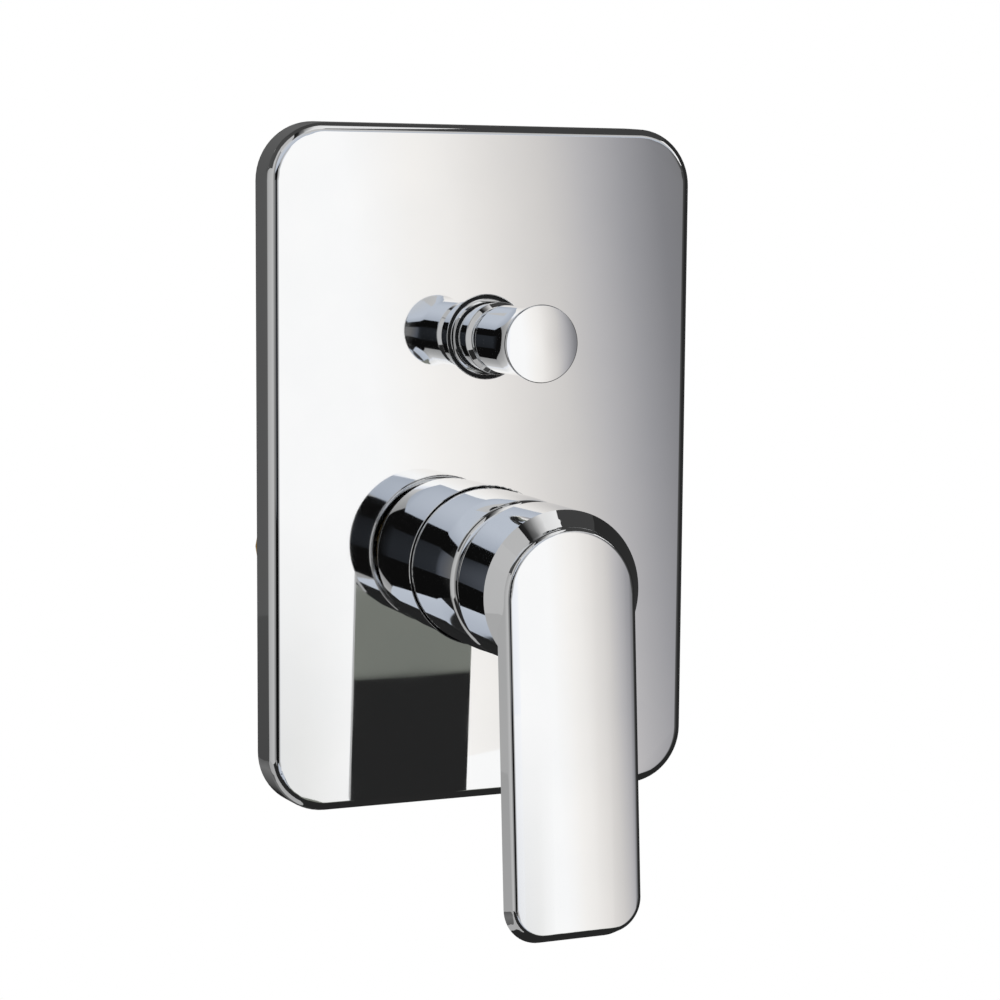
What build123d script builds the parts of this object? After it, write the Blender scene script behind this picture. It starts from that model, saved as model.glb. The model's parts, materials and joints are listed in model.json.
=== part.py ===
from build123d import *
import os
import math

# Concealed shower mixer: a chromed cover plate against the wall, a brass valve body behind it,
# a ceramic disc cartridge turned and tilted by one lever, and a pull knob that diverts the water.
# Millimetres. X to the right, Z up, the front faces -Y and the wall plane is Y = 0.
# "Reach" below is the distance in front of the wall plane, so Y = -reach.

# Cover plate
plate_w = 133.0
plate_h = 200.0
plate_depth = 12.0
plate_draft = 0.7
plate_corner = 17.2
plate_edge_r = 2.8
plate_wall = 2.0
gasket_w = 6.0
gasket_depth = 4.0

# Axes of the lever and of the knob, above or below the plate's centre
lever_z = -29.3
knob_z = 38.3

# Sleeve round the cartridge
sleeve_r = 23.35
sleeve_wall = 1.75
sleeve_end = plate_depth + 32.4
sleeve_lip = 4.4
sleeve_mouth_r = sleeve_r - 4.35
sleeve_round = 4.0
sleeve_hole_gap = 0.25

# Lever: round hollow head, bevel to a crowned face, flat blade leaning outwards
head_r = 23.2
head_wall = 2.5
head_back = sleeve_end + 4.7
head_front = plate_depth + 56.4
face_reach = plate_depth + 64.3
face_r = 18.9
blade_lean = 4.4
blade_len = 92.4
blade_t = 6.1
blade_flare = 1.15
blade_tip_flare = 2.3
blade_corner = 9.0
face_crown_r = 190.0
face_edge_r = 1.7
bevel_drop = 2.2
bevel_in = 0.25
boss_r = 6.8
boss_back = head_back + 1.4
cup_depth = 15.0
rim_r = 0.6

# Ceramic disc cartridge
barrel_gap = 1.0
barrel_r = sleeve_r - sleeve_wall - barrel_gap
barrel_bore_r = 17.75
barrel_end = 26.0
seat_reach = -6.0
cart_r = 17.5
base_t = 6.0
disc_t = 4.0
port_x = 10.0
port_z = -3.0
port_r = 3.2
out_port_z = 9.0
out_port_r = 4.0
seal_r = 4.65
seal_t = 1.6
moving_disc_r = 12.0
moving_disc_t = 3.5
film = 0.05
disc_rise = 1.8
carrier_t = 3.15
rib_w = 6.0
rib_len = 17.0
rib_h = 2.4
rib_gap_r = 6.7
shoulder_reach = 20.0
neck_reach = 25.0
rotor_r = 12.92
rotor_neck_r = 10.6
pivot_reach = 18.0
pin_r = 1.49
stem_w = 8.0
ball_reach = 10.2
ball_r = 2.4

# Pull knob and diverter
knob_hole_r = 12.2
collar_r = 10.5
collar_end = plate_depth + 11.2
collar_bore_r = 8.5
knob_back = plate_depth + 13.2
knob_body_r = 9.8
knob_rim_r = 10.9
flare_start = plate_depth + 33.6
knob_face = plate_depth + 41.5
knob_edge_w = 2.9
knob_edge_d = 1.2
knob_pull = 8.0
spindle_r = 2.99
bonnet_bore_r = 6.2
bonnet_back = -12.0
chamber_r = 10.5
chamber_floor = -26.9
spring_r = 4.6
wire_r = 0.55

# Brass body and its pipe threads
body_front = -12.0
inlet_y = 34.0
inlet_end = 52.0
outlet_y = 20.0
outlet_top = 86.0
gallery_y = 42.0
outlet_bottom = -86.0
pipe_r = 14.0
thread_r = 9.3
thread_len = 14.0
way_r = 6.5
lug_x = 38.0
lug_z = 7.0
lug_w = 18.0
lug_t = 8.0
lug_hole_r = 3.0
block_w = 40.0
block_h = 122.0
block_d = 44.0
block_corner = 9.0
hex_r = pipe_r + 2.6
hex_h = 7.0
ring_reaches = (10.0, 22.0)

os.makedirs("parts", exist_ok=True)


def facing(reach, z=0.0):
    return Plane(origin=(0, -reach, z), x_dir=(1, 0, 0), z_dir=(0, -1, 0))


def turning(z):
    return Plane(origin=(0, 0, z), x_dir=(1, 0, 0), z_dir=(0, 0, -1))


def spin(z):
    return Axis((0, 0, z), (0, -1, 0))


# Cover plate: a drafted tray with a rounded front edge and two openings
with BuildPart() as cover_plate:
    with BuildSketch(facing(0)):
        RectangleRounded(plate_w, plate_h, plate_corner)
    extrude(amount=plate_depth, taper=math.degrees(math.atan(plate_draft / plate_depth)))
    fillet(cover_plate.faces().sort_by(Axis.Y)[0].edges(), plate_edge_r)
    with BuildSketch(facing(0)):
        RectangleRounded(plate_w - 2 * plate_wall, plate_h - 2 * plate_wall, plate_corner - plate_wall)
    extrude(
        amount=plate_depth - plate_wall,
        taper=math.degrees(math.atan(plate_draft / plate_depth)),
        mode=Mode.SUBTRACT,
    )
    with BuildSketch(facing(0, lever_z)):
        Circle(sleeve_r + sleeve_hole_gap)
    extrude(amount=plate_depth + 1, mode=Mode.SUBTRACT)
    with BuildSketch(facing(0, knob_z)):
        Circle(knob_hole_r)
    extrude(amount=plate_depth + 1, mode=Mode.SUBTRACT)
    rim = cover_plate.edges().filter_by(GeomType.CIRCLE).group_by(Axis.Y)[0]
    fillet(rim, 0.4)
cover_plate.part.label = "cover_plate"
export_step(cover_plate.part, "parts/cover_plate.step")

# Foam gasket lying inside the plate's rim, flush with the wall plane
with BuildPart() as plate_gasket:
    gap = plate_wall + gasket_depth * plate_draft / plate_depth + 0.1
    with BuildSketch(facing(0)):
        RectangleRounded(plate_w - 2 * gap, plate_h - 2 * gap, plate_corner - gap)
        RectangleRounded(
            plate_w - 2 * gap - 2 * gasket_w,
            plate_h - 2 * gap - 2 * gasket_w,
            plate_corner - gap - gasket_w,
            mode=Mode.SUBTRACT,
        )
    extrude(amount=gasket_depth)
plate_gasket.part.label = "plate_gasket"
export_step(plate_gasket.part, "parts/plate_gasket.step")

# Rubber ring that seals the sleeve behind the plate's front wall
with BuildPart() as sleeve_grommet:
    with BuildSketch(facing(plate_depth - plate_wall - 3.2, lever_z)):
        Circle(sleeve_r + 4.2)
        Circle(sleeve_r + 0.01, mode=Mode.SUBTRACT)
    extrude(amount=3.2)
sleeve_grommet.part.label = "sleeve_grommet"
export_step(sleeve_grommet.part, "parts/sleeve_grommet.step")

# Black rubber ring that fills the plate's opening round the knob's collar
with BuildPart() as collar_grommet:
    with BuildSketch(turning(knob_z)):
        with BuildLine():
            Polyline(
                (collar_r + 0.01, plate_depth - plate_wall - 3.0),
                (knob_hole_r + 3.0, plate_depth - plate_wall - 3.0),
                (knob_hole_r + 3.0, plate_depth - plate_wall),
                (knob_hole_r - 0.02, plate_depth - plate_wall),
                (knob_hole_r - 0.02, plate_depth - 0.9),
                (collar_r + 0.01, plate_depth - 0.9),
                close=True,
            )
        make_face()
    revolve(axis=spin(knob_z))
collar_grommet.part.label = "collar_grommet"
export_step(collar_grommet.part, "parts/collar_grommet.step")

# Brass body: cartridge barrel and diverter barrel to the front, inlets at the sides, outlets up and down
with BuildPart() as valve_body:
    with BuildSketch(facing(body_front)):
        with Locations((0, -1)):
            RectangleRounded(block_w, block_h, block_corner)
    extrude(amount=-block_d)
    fillet(valve_body.faces().sort_by(Axis.Y)[-1].edges(), 4)
    with BuildSketch(facing(-14, lever_z)):
        Circle(barrel_r)
    extrude(amount=14 + barrel_end)
    with BuildSketch(facing(-14, lever_z)):
        Circle(barrel_r + 4)
    extrude(amount=8)
    with BuildSketch(facing(-14, knob_z)):
        Circle(chamber_r + 4)
    extrude(amount=16)
    with BuildSketch(Plane.YZ.offset(-inlet_end)):
        with Locations((inlet_y, lever_z)):
            Circle(pipe_r)
    extrude(amount=2 * inlet_end)
    with BuildSketch(Plane.YZ.offset(-inlet_end), Plane.YZ.offset(inlet_end - hex_h)):
        with Locations((inlet_y, lever_z)):
            RegularPolygon(hex_r, 6)
    extrude(amount=hex_h)
    with BuildSketch(Plane.XY.offset(50)):
        with Locations((0, outlet_y)):
            Circle(pipe_r)
    extrude(amount=outlet_top - 50)
    with BuildSketch(Plane.XY.offset(outlet_top - hex_h)):
        with Locations((0, outlet_y)):
            RegularPolygon(hex_r, 6)
    extrude(amount=hex_h)
    with BuildSketch(Plane.XY.offset(-50)):
        with Locations((0, gallery_y)):
            Circle(pipe_r)
    extrude(amount=outlet_bottom + 50)
    with BuildSketch(Plane.XY.offset(outlet_bottom)):
        with Locations((0, gallery_y)):
            RegularPolygon(hex_r, 6)
    extrude(amount=hex_h)
    with BuildSketch(facing(body_front - block_d + 1.5 * lug_t)):
        with Locations((0, lug_z)):
            SlotOverall(2 * lug_x + lug_w, lug_w)
    extrude(amount=-lug_t)
    with BuildSketch(facing(body_front - block_d + 2 * lug_t)):
        with Locations((-lug_x, lug_z), (lug_x, lug_z)):
            Circle(lug_hole_r)
    extrude(amount=-2 * lug_t, mode=Mode.SUBTRACT)
    with BuildSketch(facing(seat_reach, lever_z)):
        Circle(barrel_bore_r)
    extrude(amount=barrel_end - seat_reach, mode=Mode.SUBTRACT)
    with BuildSketch(facing(chamber_floor, knob_z)):
        Circle(chamber_r)
    extrude(amount=2 - chamber_floor, mode=Mode.SUBTRACT)
    for side in (-1, 1):
        with BuildSketch(Plane.YZ.offset(side * inlet_end)):
            with Locations((inlet_y, lever_z)):
                Circle(thread_r)
        extrude(amount=-side * thread_len, mode=Mode.SUBTRACT)
        with BuildSketch(Plane.YZ.offset(side * (inlet_end - thread_len))):
            with Locations((inlet_y, lever_z)):
                Circle(way_r)
        extrude(amount=-side * (inlet_end - thread_len - port_x + 2), mode=Mode.SUBTRACT)
    with BuildSketch(facing(seat_reach, lever_z)):
        with Locations((-port_x, port_z), (port_x, port_z)):
            Circle(port_r)
    extrude(amount=-(inlet_y + seat_reach), mode=Mode.SUBTRACT)
    with BuildSketch(facing(seat_reach, lever_z)):
        with Locations((0, out_port_z)):
            Circle(out_port_r)
    extrude(amount=-(outlet_y + seat_reach), mode=Mode.SUBTRACT)
    with BuildSketch(Plane.XY.offset(lever_z + out_port_z)):
        with Locations((0, outlet_y)):
            Circle(5)
    extrude(amount=knob_z - lever_z - out_port_z, mode=Mode.SUBTRACT)
    with BuildSketch(Plane.XY.offset(knob_z)):
        with Locations((0, outlet_y)):
            Circle(way_r)
    extrude(amount=outlet_top - knob_z, mode=Mode.SUBTRACT)
    with BuildSketch(Plane.XY.offset(outlet_top)):
        with Locations((0, outlet_y)):
            Circle(thread_r)
    extrude(amount=-thread_len, mode=Mode.SUBTRACT)
    with BuildSketch(facing(chamber_floor, knob_z)):
        Circle(5)
    extrude(amount=-(gallery_y + chamber_floor), mode=Mode.SUBTRACT)
    with BuildSketch(Plane.XY.offset(knob_z)):
        with Locations((0, gallery_y)):
            Circle(5.5)
    extrude(amount=outlet_bottom - knob_z, mode=Mode.SUBTRACT)
    with BuildSketch(Plane.XY.offset(outlet_bottom)):
        with Locations((0, gallery_y)):
            Circle(thread_r)
    extrude(amount=thread_len, mode=Mode.SUBTRACT)
    with BuildSketch(turning(lever_z)):
        for reach in ring_reaches:
            with Locations((barrel_r - 0.6 + 0.5, reach)):
                Rectangle(2.2, 2.4)
    revolve(axis=spin(lever_z), mode=Mode.SUBTRACT)
valve_body.part.label = "valve_body"
export_step(valve_body.part, "parts/valve_body.step")

# Two rubber rings in the barrel's grooves that hold the sleeve
o_ring_r = (sleeve_r - sleeve_wall - (barrel_r - 1.2)) / 2 - 0.01
with BuildPart() as sleeve_o_rings:
    with BuildSketch(turning(lever_z)):
        with Locations([(barrel_r - 1.2 + o_ring_r, reach) for reach in ring_reaches]):
            Circle(o_ring_r)
    revolve(axis=spin(lever_z))
sleeve_o_rings.part.label = "sleeve_o_rings"
export_step(sleeve_o_rings.part, "parts/sleeve_o_rings.step")

# Chromed sleeve with a rounded front lip
with BuildPart() as sleeve:
    inner = sleeve_r - sleeve_wall
    with BuildSketch(turning(lever_z)):
        with BuildLine():
            Polyline(
                (inner, 6.5),
                (sleeve_r, 6.5),
                (sleeve_r, sleeve_end),
                (sleeve_mouth_r, sleeve_end),
                (sleeve_mouth_r, sleeve_end - sleeve_lip),
                (inner, sleeve_end - sleeve_lip),
                close=True,
            )
        make_face()
    revolve(axis=spin(lever_z))
    front = sleeve.edges().filter_by(GeomType.CIRCLE).group_by(Axis.Y)[0]
    fillet(front.sort_by(SortBy.RADIUS)[-1:], sleeve_round)
sleeve.part.label = "sleeve"
export_step(sleeve.part, "parts/sleeve.step")

# Cartridge base with its three ports and the pockets for their seals
with BuildPart() as cartridge_base:
    with BuildSketch(facing(seat_reach, lever_z)):
        Circle(cart_r)
        with Locations((-port_x, port_z), (port_x, port_z)):
            Circle(port_r, mode=Mode.SUBTRACT)
        with Locations((0, out_port_z)):
            Circle(out_port_r, mode=Mode.SUBTRACT)
    extrude(amount=base_t)
    with BuildSketch(facing(seat_reach, lever_z)):
        with Locations((-port_x, port_z), (port_x, port_z), (0, out_port_z)):
            Circle(seal_r + 0.05)
    extrude(amount=seal_t, mode=Mode.SUBTRACT)
cartridge_base.part.label = "cartridge_base"
export_step(cartridge_base.part, "parts/cartridge_base.step")

# Three rubber seals between the base and the barrel's floor
with BuildPart() as base_seals:
    with BuildSketch(facing(seat_reach, lever_z)):
        with Locations((-port_x, port_z), (port_x, port_z), (0, out_port_z)):
            Circle(seal_r)
        with Locations((-port_x, port_z), (port_x, port_z)):
            Circle(port_r, mode=Mode.SUBTRACT)
        with Locations((0, out_port_z)):
            Circle(out_port_r - 0.4, mode=Mode.SUBTRACT)
    extrude(amount=seal_t)
base_seals.part.label = "base_seals"
export_step(base_seals.part, "parts/base_seals.step")

# Fixed ceramic disc
disc_reach = seat_reach + base_t
with BuildPart() as fixed_disc:
    with BuildSketch(facing(disc_reach, lever_z)):
        Circle(cart_r - 1.7)
        with Locations((-port_x, port_z), (port_x, port_z)):
            Circle(port_r, mode=Mode.SUBTRACT)
        with Locations((0, out_port_z)):
            Circle(out_port_r, mode=Mode.SUBTRACT)
    extrude(amount=disc_t)
fixed_disc.part.label = "fixed_disc"
export_step(fixed_disc.part, "parts/fixed_disc.step")

# Moving ceramic disc with the mixing pocket in its underside
slide_reach = disc_reach + disc_t + film
with BuildPart() as moving_disc:
    with BuildSketch(facing(slide_reach, lever_z)):
        with Locations((0, disc_rise)):
            Circle(moving_disc_r)
    extrude(amount=moving_disc_t)
    with BuildSketch(facing(slide_reach, lever_z)):
        with Locations((0, disc_rise + 4)):
            SlotOverall(15, 8)
    extrude(amount=1.8, mode=Mode.SUBTRACT)
moving_disc.part.label = "moving_disc"
export_step(moving_disc.part, "parts/moving_disc.step")

# Carrier that the stem's ball drives, with a rib sliding in the rotor
carrier_reach = slide_reach + moving_disc_t
with BuildPart() as disc_carrier:
    with BuildSketch(facing(carrier_reach, lever_z)):
        with Locations((0, disc_rise)):
            Circle(moving_disc_r - 0.5)
    extrude(amount=carrier_t)
    with BuildSketch(facing(carrier_reach + carrier_t, lever_z)):
        Rectangle(rib_w, rib_len)
    extrude(amount=rib_h)
    with BuildSketch(facing(carrier_reach, lever_z)):
        Circle(ball_r + 0.2)
    extrude(amount=carrier_t, mode=Mode.SUBTRACT)
    with BuildSketch(facing(carrier_reach + carrier_t, lever_z)):
        Circle(rib_gap_r)
    extrude(amount=rib_h, mode=Mode.SUBTRACT)
disc_carrier.part.label = "disc_carrier"
export_step(disc_carrier.part, "parts/disc_carrier.step")

# Cartridge housing over the discs and the rotor
rotor_back = carrier_reach + carrier_t + 0.5
rotor_step = neck_reach - 2.7
with BuildPart() as cartridge_housing:
    with BuildSketch(turning(lever_z)):
        with BuildLine():
            Polyline(
                (cart_r - 1.5, disc_reach),
                (cart_r, disc_reach),
                (cart_r, shoulder_reach),
                (cart_r - 2.5, shoulder_reach),
                (cart_r - 2.5, neck_reach),
                (rotor_neck_r + 0.15, neck_reach),
                (rotor_neck_r + 0.15, rotor_step + 0.3),
                (rotor_r + 0.08, rotor_step + 0.3),
                (rotor_r + 0.08, rotor_back - 0.4),
                (cart_r - 1.5, rotor_back - 0.4),
                close=True,
            )
        make_face()
    revolve(axis=spin(lever_z))
cartridge_housing.part.label = "cartridge_housing"
export_step(cartridge_housing.part, "parts/cartridge_housing.step")

# Brass nut that clamps the cartridge in the barrel
with BuildPart() as cartridge_nut:
    with BuildSketch(facing(shoulder_reach, lever_z)):
        Circle(barrel_bore_r - 0.1)
    extrude(amount=barrel_end - shoulder_reach)
    with BuildSketch(facing(barrel_end, lever_z)):
        RegularPolygon(barrel_r + 0.2, 6)
    extrude(amount=5.5)
    with BuildSketch(facing(shoulder_reach, lever_z)):
        Circle(cart_r - 2.3)
    extrude(amount=barrel_end - shoulder_reach + 5.5, mode=Mode.SUBTRACT)
cartridge_nut.part.label = "cartridge_nut"
export_step(cartridge_nut.part, "parts/cartridge_nut.step")

# Rotor: turns in the housing, carries the stem's pivot pin and guides the carrier's rib
with BuildPart() as stem_rotor:
    with BuildSketch(facing(rotor_back, lever_z)):
        Circle(rotor_r)
    extrude(amount=rotor_step - rotor_back)
    with BuildSketch(facing(rotor_step, lever_z)):
        Circle(rotor_neck_r)
    extrude(amount=4.2)
    with BuildSketch(facing(rotor_back, lever_z)):
        Rectangle(stem_w + 0.3, 17.2)
    extrude(amount=rotor_step + 4.2 - rotor_back, mode=Mode.SUBTRACT)
    with BuildSketch(facing(rotor_back, lever_z)):
        Rectangle(rib_w + 0.4, 2 * rotor_r + 2)
    extrude(amount=rib_h, mode=Mode.SUBTRACT)
    with BuildSketch(Plane.YZ.offset(-rotor_r)):
        with Locations((-pivot_reach, lever_z)):
            Circle(pin_r + 0.01)
    extrude(amount=2 * rotor_r, mode=Mode.SUBTRACT)
stem_rotor.part.label = "stem_rotor"
export_step(stem_rotor.part, "parts/stem_rotor.step")

# Steel pin on which the stem tilts
with BuildPart() as pivot_pin:
    with BuildSketch(Plane.YZ.offset(1.0 - rotor_r)):
        with Locations((-pivot_reach, lever_z)):
            Circle(pin_r)
    extrude(amount=2 * rotor_r - 2.0)
pivot_pin.part.label = "pivot_pin"
export_step(pivot_pin.part, "parts/pivot_pin.step")

# Stem: square shank into the lever's head, ball end in the carrier
stem_end = head_back + cup_depth
with BuildPart() as lever_stem:
    with BuildSketch(facing(pivot_reach - 4.5, lever_z)):
        Rectangle(stem_w, stem_w)
    extrude(amount=stem_end - pivot_reach + 4.5)
    with BuildSketch(facing(ball_reach, lever_z)):
        Circle(ball_r - 0.5)
    extrude(amount=pivot_reach - 4.5 - ball_reach)
    with Locations((0, -ball_reach, lever_z)):
        Sphere(ball_r)
    with BuildSketch(Plane.YZ.offset(-stem_w)):
        with Locations((-pivot_reach, lever_z)):
            Circle(pin_r + 0.06)
    extrude(amount=2 * stem_w, mode=Mode.SUBTRACT)
lever_stem.part.label = "lever_stem"
export_step(lever_stem.part, "parts/lever_stem.step")

# Lever: round head, bevel, crowned face and the leaning blade
lean = math.radians(blade_lean)
bevel_r = face_r + blade_flare * bevel_drop / blade_t - bevel_in
lever_face = Plane(
    origin=(0, -face_reach, lever_z),
    x_dir=(1, 0, 0),
    z_dir=(0, -math.cos(lean), math.sin(lean)),
)
with BuildPart() as lever:
    for offset, half, tip, corner in (
        (-blade_t, face_r + blade_flare, blade_len + blade_tip_flare, blade_corner + blade_flare),
        (0.0, face_r, blade_len, blade_corner),
    ):
        with BuildSketch(lever_face.offset(offset)):
            with BuildLine():
                l1 = Line((-half, 0), (-half, -tip + corner))
                l2 = RadiusArc(l1 @ 1, (-half + corner, -tip), -corner)
                l3 = Line(l2 @ 1, (half - corner, -tip))
                l4 = RadiusArc(l3 @ 1, (half, -tip + corner), -corner)
                l5 = Line(l4 @ 1, (half, 0))
                l6 = ThreePointArc(l5 @ 1, (0, half), (-half, 0))
            make_face()
    loft(ruled=True)
    with Locations(lever_face.offset(-face_crown_r)):
        Cylinder(face_crown_r, 4 * (blade_len + face_r), rotation=(90, 0, 0), mode=Mode.INTERSECT)
    face_middle = (0, -face_reach - face_edge_r, lever_z - blade_len / 2)
    fillet(lever.faces().sort_by_distance(face_middle)[0].edges(), face_edge_r)
    with BuildSketch(facing(head_back, lever_z)):
        Circle(head_r)
    extrude(amount=head_front - head_back)
    with BuildSketch(facing(head_front, lever_z)):
        Circle(head_r)
    with BuildSketch(lever_face.offset(-bevel_drop)):
        Circle(bevel_r)
    loft(ruled=True)
    fillet(lever.faces().sort_by(Axis.Y)[-1].edges(), rim_r)
    with BuildSketch(facing(head_back, lever_z)):
        Circle(head_r - head_wall)
        Circle(boss_r, mode=Mode.SUBTRACT)
    extrude(amount=cup_depth, mode=Mode.SUBTRACT)
    with BuildSketch(facing(head_back, lever_z)):
        Circle(boss_r + 0.1)
    extrude(amount=boss_back - head_back, mode=Mode.SUBTRACT)
    with BuildSketch(facing(head_back, lever_z)):
        Rectangle(stem_w + 0.1, stem_w + 0.1)
    extrude(amount=cup_depth, mode=Mode.SUBTRACT)
    with BuildSketch(Plane.XY.offset(lever_z - stem_w / 2)):
        with Locations((0, -head_back - 8)):
            Circle(2.5)
    extrude(amount=-boss_r, mode=Mode.SUBTRACT)
    with BuildSketch(Plane.XY.offset(lever_z - head_r + head_wall + 1.5)):
        with Locations((0, -head_back - 8)):
            Circle(3.0)
    extrude(amount=-head_wall - 3, mode=Mode.SUBTRACT)
lever.part.label = "lever"
export_step(lever.part, "parts/lever.step")

# Grub screw from the head's underside to the stem, and the plug that hides its hole
with BuildPart() as grub_screw:
    with BuildSketch(Plane.XY.offset(lever_z - stem_w / 2)):
        with Locations((0, -head_back - 8)):
            Circle(2.48)
    extrude(amount=-8)
    with BuildSketch(Plane.XY.offset(lever_z - stem_w / 2 - 8)):
        with Locations((0, -head_back - 8)):
            RegularPolygon(1.45, 6)
    extrude(amount=3, mode=Mode.SUBTRACT)
grub_screw.part.label = "grub_screw"
export_step(grub_screw.part, "parts/grub_screw.step")

with BuildPart() as grub_plug:
    with BuildSketch(Plane.XY.offset(lever_z - head_r + 0.3)):
        with Locations((0, -head_back - 8)):
            Circle(2.98)
    extrude(amount=head_wall - 0.1)
grub_plug.part.label = "grub_plug"
export_step(grub_plug.part, "parts/grub_plug.step")

# Diverter bonnet screwed into the body
with BuildPart() as diverter_bonnet:
    with BuildSketch(turning(knob_z)):
        with BuildLine():
            Polyline(
                (bonnet_bore_r, bonnet_back),
                (chamber_r - 0.1, bonnet_back),
                (chamber_r - 0.1, 6.0),
                (7.5, 6.0),
                (7.5, 13.5),
                (spindle_r + 0.07, 13.5),
                (spindle_r + 0.07, 9.9),
                (4.85, 9.9),
                (4.85, 8.1),
                (spindle_r + 0.07, 8.1),
                (spindle_r + 0.07, 4.0),
                (bonnet_bore_r, 4.0),
                close=True,
            )
        make_face()
    revolve(axis=spin(knob_z))
    with BuildSketch(facing(2.0, knob_z)):
        RegularPolygon(13.6, 6)
        Circle(chamber_r - 0.2, mode=Mode.SUBTRACT)
    extrude(amount=4.0)
diverter_bonnet.part.label = "diverter_bonnet"
export_step(diverter_bonnet.part, "parts/diverter_bonnet.step")

# Rubber ring in the bonnet round the spindle
with BuildPart() as spindle_o_ring:
    with BuildSketch(turning(knob_z)):
        with Locations((spindle_r + 0.06 + 0.9, 9.0)):
            Circle(0.9)
    revolve(axis=spin(knob_z))
spindle_o_ring.part.label = "spindle_o_ring"
export_step(spindle_o_ring.part, "parts/spindle_o_ring.step")

# Chromed collar that stands on the bonnet and guides the knob's skirt
with BuildPart() as knob_collar:
    with BuildSketch(turning(knob_z)):
        with BuildLine():
            Polyline(
                (7.55, 6.0),
                (collar_r, 6.0),
                (collar_r, collar_end - 1.3),
                (collar_r - 1.3, collar_end),
                (collar_bore_r, collar_end),
                (collar_bore_r, 14.0),
                (7.55, 14.0),
                close=True,
            )
        make_face()
    revolve(axis=spin(knob_z))
knob_collar.part.label = "knob_collar"
export_step(knob_collar.part, "parts/knob_collar.step")

# Pull knob: skirt in the collar, barrel, flared rim and a rounded flat face
with BuildPart() as diverter_knob:
    with BuildSketch(turning(knob_z)):
        with BuildLine():
            Polyline(
                (0, 14.6),
                (collar_bore_r - 0.08, 14.6),
                (collar_bore_r - 0.08, knob_back),
                (knob_body_r - 0.9, knob_back),
                (knob_body_r, knob_back + 2.2),
                (knob_body_r, flare_start),
                (knob_rim_r, knob_face - knob_edge_d),
            )
            soft_edge = TangentArc(
                (knob_rim_r - knob_edge_w, knob_face),
                (knob_rim_r, knob_face - knob_edge_d),
                tangent=(1, 0),
            )
            Polyline(soft_edge @ 0, (0, knob_face), (0, 14.6))
        make_face()
    revolve(axis=spin(knob_z))
    with BuildSketch(facing(14.6, knob_z)):
        Circle(spindle_r + 0.01)
    extrude(amount=27.4, mode=Mode.SUBTRACT)
diverter_knob.part.label = "diverter_knob"
export_step(diverter_knob.part, "parts/diverter_knob.step")

# Spindle with the shoulder that the spring pushes on
with BuildPart() as diverter_spindle:
    with BuildSketch(turning(knob_z)):
        with BuildLine():
            Polyline(
                (0, chamber_floor - 0.6),
                (spindle_r, chamber_floor - 0.6),
                (spindle_r, bonnet_back - 3.5),
                (5.6, bonnet_back - 3.5),
                (5.6, bonnet_back - 2.0),
                (spindle_r, bonnet_back - 2.0),
                (spindle_r, 42.0),
                (0, 42.0),
                close=True,
            )
        make_face()
    revolve(axis=spin(knob_z))
diverter_spindle.part.label = "diverter_spindle"
export_step(diverter_spindle.part, "parts/diverter_spindle.step")

# Brass poppet on the spindle with a rubber washer on each face
poppet_front = bonnet_back - knob_pull - 0.3
with BuildPart() as poppet:
    with BuildSketch(facing(poppet_front - 4.7, knob_z)):
        Circle(7.5)
        Circle(spindle_r + 0.01, mode=Mode.SUBTRACT)
    extrude(amount=3.1)
poppet.part.label = "poppet"
export_step(poppet.part, "parts/poppet.step")

with BuildPart() as poppet_washers:
    with BuildSketch(facing(poppet_front - 6.3, knob_z), facing(poppet_front - 1.6, knob_z)):
        Circle(7.2)
        Circle(spindle_r + 0.01, mode=Mode.SUBTRACT)
    extrude(amount=1.6)
poppet_washers.part.label = "poppet_washers"
export_step(poppet_washers.part, "parts/poppet_washers.step")

# Return spring between the bonnet's wall and the spindle's shoulder
spring_low = bonnet_back - 2.0 + wire_r
spring_high = 4.0 - wire_r
with BuildPart() as diverter_spring:
    with BuildLine():
        coil = Helix(
            pitch=(spring_high - spring_low) / 6,
            height=spring_high - spring_low,
            radius=spring_r,
            center=(0, -spring_low, knob_z),
            direction=(0, -1, 0),
        )
    with BuildSketch(Plane(origin=coil @ 0, z_dir=coil % 0)):
        Circle(wire_r)
    sweep()
diverter_spring.part.label = "diverter_spring"
export_step(diverter_spring.part, "parts/diverter_spring.step")
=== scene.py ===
# %% [markdown]
# # Concealed shower mixer
# A chromed plate lies on the wall and hides a brass valve body. A sleeve comes out of the plate and
# carries the lever, and a knob above it is pulled to send the water to the other outlet. The solids come
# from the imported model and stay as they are: this file dresses them, adds finer pieces and lights them.

# %% Load the solids
import json
import math

import bmesh
import bpy
from mathutils import Matrix, Quaternion, Vector


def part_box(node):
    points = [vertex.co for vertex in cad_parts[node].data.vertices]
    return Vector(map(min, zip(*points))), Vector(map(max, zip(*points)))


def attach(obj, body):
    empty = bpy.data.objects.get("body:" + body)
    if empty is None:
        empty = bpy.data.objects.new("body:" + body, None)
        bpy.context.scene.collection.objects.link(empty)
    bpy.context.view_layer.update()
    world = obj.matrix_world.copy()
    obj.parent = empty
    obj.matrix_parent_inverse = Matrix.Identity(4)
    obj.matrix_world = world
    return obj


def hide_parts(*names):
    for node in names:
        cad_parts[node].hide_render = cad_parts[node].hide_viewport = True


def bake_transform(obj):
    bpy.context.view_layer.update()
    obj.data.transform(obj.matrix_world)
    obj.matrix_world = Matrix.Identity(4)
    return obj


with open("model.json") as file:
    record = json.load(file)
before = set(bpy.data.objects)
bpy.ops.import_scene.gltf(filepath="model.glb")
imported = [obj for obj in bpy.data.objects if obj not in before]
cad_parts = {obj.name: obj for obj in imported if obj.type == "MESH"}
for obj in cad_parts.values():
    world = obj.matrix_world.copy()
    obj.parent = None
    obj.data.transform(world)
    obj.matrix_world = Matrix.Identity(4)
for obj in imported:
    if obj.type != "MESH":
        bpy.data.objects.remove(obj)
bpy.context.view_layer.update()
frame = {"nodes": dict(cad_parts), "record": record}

MM = 0.001
nodes = frame["nodes"]

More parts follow.
